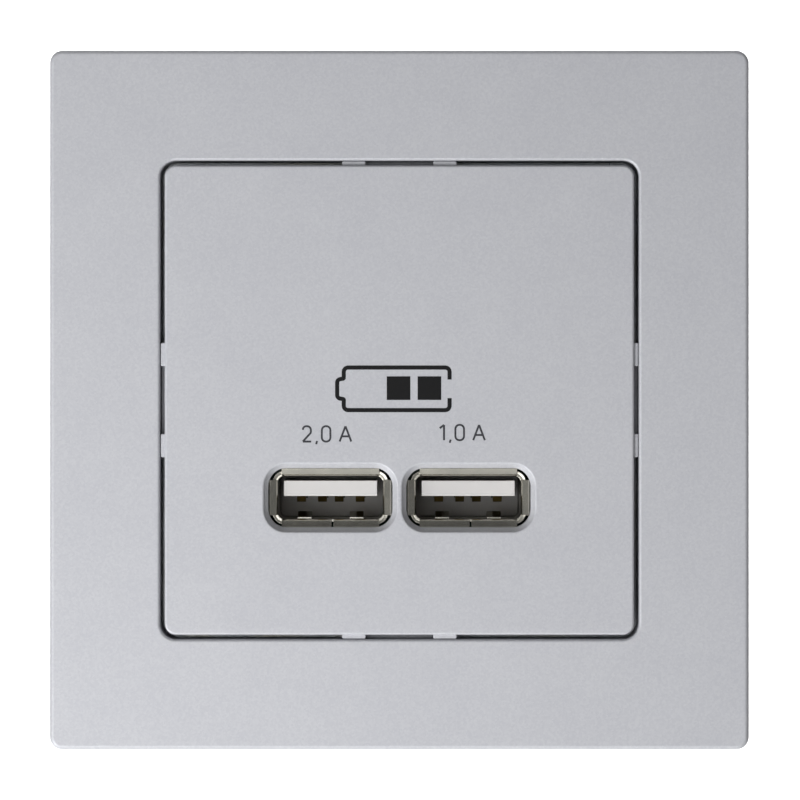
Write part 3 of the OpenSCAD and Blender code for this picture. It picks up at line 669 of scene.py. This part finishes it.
def buildPrint():
    p = pictogram
    front = corners("centre_plate")[0].y
    middle = (p["top"] + p["bottom"]) / 2
    r, reach, stub = p["corner"], p["stubReach"], p["stubHalf"]
    outline = rounded([
        (p["right"], middle + p["gapHalf"], 0), (p["right"], p["top"], r), (p["left"], p["top"], r),
        (p["left"], middle + stub, 0.1), (p["left"] - reach, middle + stub - p["stubSlope"], 0.4),
        (p["left"] - reach, middle - stub + p["stubSlope"], 0.4), (p["left"], middle - stub, 0.1),
        (p["left"], p["bottom"], r), (p["right"], p["bottom"], r), (p["right"], middle - p["gapHalf"], 0),
    ])
    parts = [moved(stroke(outline, p["line"], p["thickness"]), (0, front, 0))]
    size = p["cellSize"]
    for x in p["cells"]:
        parts.append(block((x, front - p["thickness"], middle - size / 2 + 0.08),
                           (x + size, front + 0.05, middle + size / 2 + 0.08), 0))
    piece("batteryPrint", joined(parts), "centre_plate", "silver_paint", finish="blackInk")


rating = {"capHeight": 1.82, "line": 0.25, "thickness": 0.014, "space": 0.3,
          "marks": [("2,0 A", -8.6, -4.93), ("1,0 A", 7.44, -4.77)]}
# each figure in strokes of (across, up, fillet), for a height of 1, and its width
figures = {
    "2": (0.56, [[(0.02, 0.76, 0), (0.06, 1.0, 0.22), (0.54, 1.0, 0.24), (0.55, 0.58, 0.2), (0.02, 0.0, 0)],
                 [(0.02, 0.0, 0), (0.57, 0.0, 0)]]),
    "0": (0.56, [[(0.28, 0.0, 0), (0.0, 0.0, 0.26), (0.0, 1.0, 0.26), (0.56, 1.0, 0.26), (0.56, 0.0, 0.26),
                  (0.27, 0.0, 0)]]),
    "1": (0.34, [[(0.02, 0.78, 0), (0.3, 1.0, 0)], [(0.3, 1.0, 0), (0.3, 0.0, 0)]]),
    ",": (0.1, [[(0.09, 0.04, 0), (0.03, -0.17, 0)]]),
    "A": (0.76, [[(0.0, 0.0, 0), (0.38, 1.0, 0)], [(0.76, 0.0, 0), (0.38, 1.0, 0)],
                 [(0.13, 0.34, 0), (0.63, 0.34, 0)]]),
}


def buildRatings():
    front = corners("centre_plate")[0].y
    tall, gap = rating["capHeight"], rating["space"]
    parts = []
    for words, middle, base in rating["marks"]:
        widths = [figures[w][0] + gap if w in figures else 0.3 for w in words]
        across = -(sum(widths) - gap) / 2
        for letter, width in zip(words, widths):
            for line in figures.get(letter, (0, []))[1]:
                points = rounded([(u * tall, v * tall, f * tall) for u, v, f in line], 5)
                shape = stroke(points, rating["line"], rating["thickness"])
                parts.append(moved(shape, (middle + across * tall, front, base)))
            across += width
    piece("ratingPrint", joined(parts), "centre_plate", "silver_paint", finish="greyInk")


socket = {"halfWidth": 6.25, "halfHeight": 2.56, "sheet": 0.3, "corner": 0.75, "neck": 0.6, "flareAngle": 52,
          "flare": 0.87, "topLip": 11.6, "sideLip": 4.2, "seam": 0.2, "seamPlace": 0.25, "springWidth": 1.7,
          "springPlace": 3.1, "springDip": 0.62, "springSheet": 0.22,
          "tongueBottom": 0.18, "contacts": (-3.5, -1, 1, 3.5), "bump": (1.05, 0.75),
          "collar": 0.6, "collarDepth": 0.92}
flareTurn = radians(socket["flareAngle"])
flareRun = (socket["flare"] - socket["neck"] * (1 - cos(flareTurn))) / sin(flareTurn)  # its straight part
flareDepth = socket["neck"] * sin(flareTurn) + flareRun * cos(flareTurn)


def lip(length, half):  # the mouth's edge flared outwards, for the side at that distance from the middle
    s = socket
    front = corners("usb_shell_left")[0].y
    start, neck, sheet, steps = front + flareDepth, s["neck"], s["sheet"], 7
    inside, outside = [], []
    for t in range(steps + 1):
        a = flareTurn * t / steps
        inside.append((start - neck * sin(a), half + neck * (1 - cos(a))))
        outside.append((start - (neck - sheet) * sin(a), half + neck - (neck - sheet) * cos(a)))
    tip = (front, half + s["flare"])
    back = (tip[0] + sheet * sin(flareTurn), tip[1] + sheet * cos(flareTurn))
    outline = [(start + 0.5, half)] + inside + [tip, back] + outside[::-1] + [(start + 0.5, half + sheet)]
    return prism(outline, length, 0.05)


def spring(side):  # the tongue pressed out of the shell that holds the plug
    s = socket
    dip, wall = s["springDip"], s["halfHeight"]
    line = rounded([(-6.6, 0, 0), (-5.6, 0.02, 1), (-3.8, dip, 0.8), (-2.9, dip, 0.8), (-1.2, 0, 1),
                    (-0.4, 0, 0)])
    outer = [(p.x, wall - p.y) for p in line]
    inner = [(p.x, wall - p.y - s["springSheet"]) for p in reversed(line)]
    return moved(prism(outer + inner, s["springWidth"], 0.05), (side * s["springPlace"], 0, 0))


def buildSocket(name, side):
    s = socket
    low, high = corners("usb_shell_" + name)
    boardFace = corners("output_board")[0].y
    half, sheet = s["halfWidth"], s["sheet"]
    start = low.y + flareDepth - 0.1
    tube = loft([
        (half, start, 0.05, s["corner"]), (half + sheet, start, 0.05, s["corner"] + sheet),
        (half + sheet, boardFace, 0.05, s["corner"] + sheet), (half, boardFace, 0.05, s["corner"]),
    ], s["halfHeight"] - half, cornerSteps=8, filletSteps=2, closed=True)
    # a collar stands behind the four lips and shows in the corners between them
    near, far, edge = half + sheet - 0.05, half + s["collar"], s["corner"]
    mouth = low.y + s["collarDepth"]
    collar = loft([
        (near, start + 0.1, 0, edge + near - half), (far, mouth, 0.05, edge + far - half),
        (far, mouth + sheet, 0.05, edge + far - half), (near, start + 0.1 + sheet, 0, edge + near - half),
    ], s["halfHeight"] - half, cornerSteps=8, filletSteps=2, closed=True)
    tall = s["halfHeight"]
    slit = block((s["seamPlace"] - s["seam"], low.y, -half),
                 (s["seamPlace"] + s["seam"], start + 1, -tall - 0.1), 0)
    parts = [tube, combined(collar, [slit]), lip(s["topLip"], tall)]
    for way in (-1, 1):
        run = (s["topLip"] - s["seam"]) / 2 - way * s["seamPlace"]
        middle = s["seamPlace"] + way * (run + s["seam"]) / 2
        parts.append(moved(moved(lip(run, tall), turn=pi), (middle, 0, 0)))
        parts.append(moved(lip(s["sideLip"], half), turn=way * pi / 2))
        parts.append(moved(spring(way), turn=pi))
        x = way * (half + sheet / 2)
        parts.append(block((x - sheet / 2, boardFace - 0.3, -1), (x + sheet / 2, high.y, 1), 0.08))
    x, z = portCentre(side)
    shell = moved(joined(parts), (x, 0, z))
    piece("usbShell_" + name, shell, "module", "shell_steel", "usb_shell_" + name)
    piece("usbInsulator_" + name, cadCopy("usb_insulator_" + name, 0.1, 3), "module", "white_plastic",
          "usb_insulator_" + name)
    # the contacts and their bumps take the gold_contact colour, which is darkened as painted shade
    wide, deep = s["bump"]
    bump = rounded([(-6.4, 0.1, 0), (-5.2, -deep, 0.5), (-4.2, -deep, 0.5), (-2.6, 0.1, 0)])
    bumps = [moved(prism([(p.x, p.y) for p in bump], wide, 0.05), (x + c, 0, z + s["tongueBottom"]))
             for c in s["contacts"]]
    piece("usbContacts_" + name, joined([cadCopy("usb_contacts_" + name, 0.04)] + bumps), "module",
          "gold_contact", "usb_contacts_" + name)


threadForm = {"core": 0.3, "middle": 0.22, "ridge": 0.3}  # parts of the pitch


def threadedScrew(stem, head, length, pitch, recess, neck=0.0):
    # along Y from the head's face at 0: stem and head are radii, the recess is a cross
    core = stem - threadForm["core"] * pitch
    body = turned([(0, 0, 0), (head[0], 0, 0.25), (head[0], head[1], 0.12), (core, head[1], 0.1),
                   (core, length, 0.25), (0, length, 0)])
    cuts = [block((-recess[0] / 2, -1, -recess[1] / 2), (recess[0] / 2, recess[2], recess[1] / 2), 0.1)]
    cuts.append(moved(cuts[0].copy(), turn=pi / 2))
    body = combined(body, cuts)
    run = length - head[1] - neck - pitch
    ridge = runTree(thread, {"Radius": (stem - threadForm["middle"] * pitch) * mm, "Turns": run / pitch,
                             "Length": run * mm, "Ridge": threadForm["ridge"] * pitch * mm})
    ridge.transform(Matrix.Rotation(-pi / 2, 4, "X"))
    return joined([body, cleaned(moved(ridge, (0, head[1] + neck, 0)))])


clawSet = {"stem": 1.5, "screwPitch": 0.7, "head": 1.8, "neck": 1.4, "recess": (3.4, 0.75, 1.15),
           "toothBevel": 0.12}


def buildClaw(name):
    low, high = corners("claw_screw_" + name)
    x, z = (low.x + high.x) / 2, (low.z + high.z) / 2
    screw = threadedScrew(clawSet["stem"], ((high.x - low.x) / 2, clawSet["head"]), high.y - low.y,
                          clawSet["screwPitch"], clawSet["recess"], clawSet["neck"])
    body = "claw_screw_" + name
    piece("clawScrew_" + name, moved(screw, (x, low.y, z)), body, "screw_steel", body)
    ring = "retaining_ring_" + name
    piece("retainingRing_" + name, cadCopy(ring, 0.08), body, "zinc_steel", ring)
    nut = "claw_nut_" + name
    piece("clawNut_" + name, cadCopy(nut, 0.2, 3), nut, "brass", nut)
    claw = "claw_" + name
    piece("claw_" + name + "_arm", cadCopy(claw, clawSet["toothBevel"]), claw, "zinc_steel", claw)


coverScrew = {"stem": 1.1, "head": (2.1, 1.3), "pitch": 0.9, "recess": (2.6, 0.55, 0.75), "neck": 5.5,
              "firstTurn": 0.4, "turnStep": 1.1, "quarters": ((-1, -1), (-1, 1), (1, 1), (1, -1))}


def buildCoverScrews():  # each stopped at its own angle
    c = coverScrew
    low, high = corners("cover_screws")
    x, z = high.x - c["head"][0], high.z - c["head"][0]
    screw = threadedScrew(c["stem"], c["head"], high.y - low.y, c["pitch"], c["recess"], c["neck"])
    places = [(sx * x, low.y, sz * z, c["firstTurn"] + c["turnStep"] * k)
              for k, (sx, sz) in enumerate(c["quarters"])]
    piece("coverScrews", copiesAt(screw, places), "module", "screw_steel", "cover_screws")


terminal = {"stem": 1.5, "head": 1.8, "pitch": 0.5, "recess": (2.8, 0.6, 1.0), "neck": 0.3, "pilotRadius": 1,
            "pilotLength": 2, "pilotReach": 0.5}


def buildTerminal(name):
    bar, clamp, screw = "terminal_bar_" + name, "clamp_plate_" + name, "terminal_screw_" + name
    piece("terminalBar_" + name, cadCopy(bar, 0.15), "module", "brass", bar)
    piece("clampPlate_" + name, cadCopy(clamp, 0.15), "clamp_" + name, "zinc_steel", clamp)
    low, high = corners(screw)
    t, length = terminal, high.z - low.z
    pin = threadedScrew(t["stem"], ((high.x - low.x) / 2, t["head"]), length - t["pilotReach"], t["pitch"],
                        t["recess"], t["neck"])
    radius, tip = t["pilotRadius"], t["pilotLength"]
    pilot = turned([(0, 0, 0), (radius, 0, 0), (radius, tip, 0.15), (0, tip, 0)])
    whole = joined([pin, moved(pilot, (0, length - tip, 0))])
    whole.transform(Matrix.Rotation(pi / 2, 4, "X"))
    whole = moved(whole, ((low.x + high.x) / 2, (low.y + high.y) / 2, low.z))
    piece("terminalScrew_" + name, whole, screw, "screw_steel", screw)


# the rear housing is cut by an envelope whose rear edge is rounded; in front of the waist it cuts nothing
housing = {"front": -3, "waist": 24, "slack": 0.004, "rearEdge": 1.2, "cornerRadius": 10}


def buildShells():
    asDesigned("zinc_steel", 0.14, 2, "support_strap")
    asDesigned("module_plastic", 0.12, 2, "front_cover")
    low, high = corners("front_cover")
    h, deep = housing, corners("rear_housing")[1].y + housing["slack"]
    wide, front, waist, radius = high.x + h["slack"], h["front"], h["waist"], h["cornerRadius"]
    reach = corners("rear_housing")[1].x + 2
    envelope = loft([
        (0, front, 0, 0), (reach, front, 0, radius), (reach, waist, 0, radius), (wide, waist, 0, radius),
        (wide, deep, h["rearEdge"], radius), (0, deep, 0, 0),
    ], high.z - high.x, cornerSteps=16, filletSteps=6)
    shell = combined(cadCopy("rear_housing", 0), [envelope], "INTERSECT")
    piece("rearHousing", shell, "module", "module_plastic", "rear_housing")


boardParts = {
    "chipSeed": 7, "chipCount": 26, "jointRadius": 0.75, "socketPinRise": 0.33,
    "linkHeight": 18.2, "linkPins": (-3.81, -1.27, 1.27, 3.81),
    "transformerPins": [(x, z) for x in (-4.5, -1.5, 1.5, 4.5) for z in (0.6, 13.4)],
    "otherPins": [(-13.9, 2.2), (-13.9, 5.8), (-13.9, 11.2), (-13.9, 14.8), (-15.6, -5.2), (-11.6, -5.2),
                  (13.75, -2), (13.75, 8.2), (11.6, 14.4), (15.2, 14.4)],
    "wire": 0.28, "wireBend": 1.6, "chokeCore": 2.2, "chokeFlange": 1.2, "chokeWire": 0.25, "chokeReach": 3.3,
}


def capacitorCan(radius, front, back, centre):  # a can with a rolled groove, and a cross scored in its face
    can = turned([(0, front + 0.12, 0), (radius - 0.9, front + 0.12, 0.1), (radius - 0.7, front, 0.2),
                  (radius, front, 0.5), (radius, back - 2.6, 0.3), (radius - 0.35, back - 2.1, 0.3),
                  (radius, back - 1.6, 0.3), (radius, back - 0.3, 0.3), (0, back - 0.3, 0)], centre)
    arm = radius * 0.62
    cross = [block((-arm, front - 0.1, -0.09), (arm, front + 0.25, 0.09), 0)]
    cross.append(moved(cross[0].copy(), turn=pi / 2))
    return combined(can, [moved(c, (centre[0], 0, centre[1])) for c in cross])


def buildCans(node, slot):  # two cans side by side
    low, high = corners(node)
    radius = min(high.x - low.x, high.z - low.z) / 2
    cans = [capacitorCan(radius, low.y, high.y, spot)
            for spot in ((low.x + radius, low.z + radius), (high.x - radius, high.z - radius))]
    piece(camel(node), joined(cans), "module", slot, node)


def gullWings(body, count, face, out):  # leads along two sides of a chip; out is the way off the board
    low, high = corners(body)
    lead = [(0.0, 0.0), (0.0, 0.18), (0.45, 0.18), (0.62, 0.75), (0.8, 0.75), (0.62, 0.0)]
    shape = prism([(v * out, u) for u, v in lead], 0.35)
    width, mid = high.x - low.x, (low + high) / 2
    edge = (high.z - low.z) / 2 + 0.7
    places = []
    for k in range(count):
        along = -width / 2 + width * (k + 0.5) / count
        places += [(mid.x + along, face, mid.z - edge, 0), (mid.x + along, face, mid.z + edge, pi)]
    return cleaned(copiesAt(shape, places))


def buildSolder(name, leads, pins, tall):  # with a cone wherever a pin comes through the board
    profile = [(0, 0, 0), (boardParts["jointRadius"], 0, 0), (0.35, tall - 0.1, 0.2), (0, tall, 0)]
    cone = turned(profile, cornerSteps=3)
    piece(name, joined(leads + [cleaned(copiesAt(cone, pins))]), "module", "tinned_pin")


def buildOutputBoard():
    b = boardParts
    board = corners("output_board")
    front, back = board[0].y, board[1].y
    asDesigned("circuit_board", 0.06, 2, "output_board")
    buildCans("output_capacitors", "capacitor_can")
    asDesigned("epoxy_black", 0.3, 3, "output_inductor")
    asDesigned("epoxy_black", 0.12, 3, "port_controller", "rectifier_diode")
    pins = [(x, back, b["linkHeight"], 0) for x in b["linkPins"]]
    for side in ports.values():
        cx, cz = portCentre(side)
        pins += [(cx + x, back, cz + b["socketPinRise"], 0) for x in socket["contacts"]]
    leads = [gullWings("port_controller", 4, front, -1), gullWings("rectifier_diode", 2, back, 1)]
    buildSolder("outputSolder", leads, pins, 0.8)


def buildMainsBoard():
    b = boardParts
    back = corners("mains_board")[1].y
    asDesigned("circuit_board", 0.06, 2, "mains_board")
    buildCans("bulk_capacitors", "capacitor_sleeve")
    low, high = corners("mains_fuse")
    radius, mid = (high.x - low.x) / 2, (low + high) / 2
    fuse = turned([(0, low.y, 0), (radius - 0.4, low.y, 0.2), (radius - 0.2, low.y + 0.3, 0.1),
                   (radius, low.y + 0.5, 0.3), (radius, high.y - 0.4, 0.2), (0, high.y - 0.4, 0)],
                  (mid.x, mid.z))
    piece("mainsFuse", fuse, "module", "epoxy_black", "mains_fuse")
    low, high = corners("filter_choke")
    radius, mid = (high.x - low.x) / 2, (low + high) / 2
    flange, core, wire, bend = b["chokeFlange"], b["chokeCore"], b["chokeWire"], b["chokeReach"]
    near, far = low.y + flange, high.y - flange
    drum = turned([(0, low.y, 0), (radius, low.y, 0.3), (radius, near, 0.2), (core, near, 0), (core, far, 0),
                   (radius, far, 0.2), (radius, high.y, 0.3), (0, high.y, 0)], (mid.x, mid.z))
    piece("filterChoke", drum, "module", "ferrite", "filter_choke")
    wound = runTree(coil, {"Half Width": bend * mm, "Half Height": bend * mm, "Corner": bend * mm,
                           "Wire Radius": wire * mm, "Turns": 12, "Start": (near + wire) * mm,
                           "Length": (far - near - 2 * wire) * mm, "Corner Steps": 5})
    piece("chokeWinding", cleaned(moved(wound, (mid.x, 0, mid.z))), "module", "enamelled_copper")
    asDesigned("film_box", 0.35, 3, "interference_capacitor")
    asDesigned("epoxy_blue", 0.9, 3, "surge_varistor", "safety_capacitor")
    asDesigned("white_plastic", 0.15, 3, "optocoupler")
    asDesigned("epoxy_black", 0.15, 3, "bridge_rectifier")
    asDesigned("epoxy_black", 0.12, 3, "power_controller")
    asDesigned("coil_former", 0.15, 3, "link_header")
    asDesigned("tinned_pin", 0.08, 3, "link_pins")
    leads = [gullWings("bridge_rectifier", 2, back, 1), gullWings("power_controller", 4, back, 1)]
    pins = [(x, back, b["linkHeight"], 0) for x in b["linkPins"]]
    pins += [(x, back, z, 0) for x, z in b["transformerPins"] + b["otherPins"]]
    buildSolder("mainsSolder", leads, pins, 0.9)


def buildChips():  # small ceramic chips on the output board, in seeded places
    random.seed(boardParts["chipSeed"])
    chip = block((-0.8, -0.7, -0.4), (0.8, 0, 0.4), 0.08)
    face = corners("output_board")[0].y
    spots = [(random.uniform(-14, 14), face, random.uniform(8, 16), random.choice((0, pi / 2)))
             for k in range(boardParts["chipCount"])]
    spots = [s for s in spots if abs(s[0]) > 5 and abs(abs(s[0]) - 14) > 2]
    piece("ceramicChips", copiesAt(chip, spots), "module", "film_box")


def buildTransformer():
    asDesigned("ferrite", 0.2, 3, "core_front", "core_rear")
    asDesigned("coil_former", 0.15, 2, "transformer_bobbin")
    low, high = corners("transformer_winding")
    wire = boardParts["wire"]
    halfWide, halfTall, middle = high.x - wire, (high.z - low.z) / 2 - wire, (high.z + low.z) / 2
    turns = int((high.y - low.y) / (2 * wire))
    wound = runTree(coil, {"Half Width": halfWide * mm, "Half Height": halfTall * mm,
                           "Corner": boardParts["wireBend"] * mm,
                           "Wire Radius": wire * mm, "Turns": turns, "Start": (low.y + wire) * mm,
                           "Length": (high.y - low.y - 2 * wire) * mm, "Corner Steps": 4})
    piece("transformerWinding", cleaned(moved(wound, (0, 0, middle))), "module", "enamelled_copper",
          "transformer_winding")
    low, high = corners("transformer_tape")
    inner = high.x - 0.3
    wrap = loft([(inner, low.y, 0.05, 1.7), (high.x, low.y, 0.1, 2), (high.x, high.y, 0.1, 2),
                 (inner, high.y, 0.05, 1.7)], (high.z - low.z) / 2 - high.x, closed=True, centre=(0, middle))
    piece("transformerTape", wrap, "module", "polyester_tape", "transformer_tape")


stage = {"floorDrop": 420.0, "reach": 1600.0, "sweep": 500.0, "wall": 1500.0}
shot = {"lens": 190.0, "sensor": 36.0, "fieldWidth": 94.9, "aside": 0.07}
# a world that is bright at the lower left and dim at the upper right, and boxes of soft light
light = {"brightSide": (-0.3, -0.5, -0.8), "dark": 0.05, "bright": 0.36, "lamps": [
    ("keyBox", (-290, -345, -310), (420, 420), 3.9, (0, 0, 0)),
    ("topBox", (0, 90, 520), (500, 160), 0.7, (0, 0, 0)),
    ("frontBox", (-110, -480, -90), (200, 200), 0.34, (0, 0, 0)),
    ("backBox", (450, 800, 450), (700, 500), 5, (0, 0, 0)),
    ("sweepBox", (0, 1000, 500), (800, 300), 16, (0, 1500, -80)),
]}


def buildStage():
    floorZ = cadBox[0][2] / mm - stage["floorDrop"]
    reach = stage["reach"]
    line = rounded([(-reach, 0, 0), (reach, 0, stage["sweep"]), (reach, stage["wall"], 0)], 16)
    verts = [(x * mm, p.x * mm, (floorZ + p.y) * mm) for p in line for x in (-reach, reach)]
    mesh = bpy.data.meshes.new("floor")
    mesh.from_pydata(verts, [], [(2 * i, 2 * i + 1, 2 * i + 3, 2 * i + 2) for i in range(len(line) - 1)])
    mesh.shade_smooth()
    material, tree, shader, place = newMaterial("paperSweep", {"Roughness": 0.8})
    paper = addNode(tree, "ShaderNodeTexNoise", {"Vector": place, "Scale": perMm(300), "Detail": 2})
    spread(tree, shader, "Base Color", paper, [(0.3, "#f2f2f2"), (0.7, "#f6f6f6")])
    mesh.materials.append(material)
    placed(mesh, "floor")


def addLamp(name, place, size, power, aim):
    data = bpy.data.lights.new(name, "AREA")
    data.shape = "RECTANGLE"
    data.size, data.size_y = size[0] * mm, size[1] * mm
    data.energy = power
    lamp = placed(data, name)
    lamp.location = Vector(place) * mm
    lamp.rotation_euler = (Vector(aim) * mm - lamp.location).to_track_quat("-Z", "Y").to_euler()


def buildLight():
    world = bpy.data.worlds.new("studio")
    world.use_nodes = True
    tree = world.node_tree
    direction = addNode(tree, "ShaderNodeTexCoord").outputs["Generated"]
    slope = addNode(tree, "ShaderNodeVectorMath", {0: direction, 1: light["brightSide"]},
                    operation="DOT_PRODUCT")
    share = addNode(tree, "ShaderNodeMapRange", {
        "Value": slope.outputs["Value"], "From Min": -1, "From Max": 1,
        "To Min": light["dark"], "To Max": light["bright"]})
    tree.nodes["Background"].inputs["Color"].default_value = linear("#ffffff")
    tree.links.new(share.outputs["Result"], tree.nodes["Background"].inputs["Strength"])
    bpy.context.scene.world = world
    for name, place, size, power, aim in light["lamps"]:
        addLamp(name, place, size, power, aim)
    bpy.context.scene.view_settings.view_transform = "Standard"


def buildCamera():
    data = bpy.data.cameras.new("camera")
    data.lens = shot["lens"]
    data.sensor_width = shot["sensor"]
    data.clip_start = 0.01
    camera = placed(data, "camera")
    front = corners("cover_frame")[0].y
    distance = shot["fieldWidth"] * shot["lens"] / shot["sensor"]
    camera.location = (shot["aside"] * mm, (front - distance) * mm, 0)
    camera.rotation_euler = (pi / 2, 0, 0)
    bpy.context.scene.camera = camera


buildCamera()
buildLight()
buildStage()
print("stage, light and camera set")
buildCoverFrame()
buildCentrePlate()
buildPrint()
buildRatings()
print("front built")
for portName, portSide in ports.items():
    buildSocket(portName, portSide)
    buildClaw(portName)
print("sockets and claws built")
for pole in ("line", "neutral"):
    buildTerminal(pole)
buildCoverScrews()
buildShells()
print("module shells built")
buildOutputBoard()
buildMainsBoard()
buildChips()
buildTransformer()
print("electronics built")
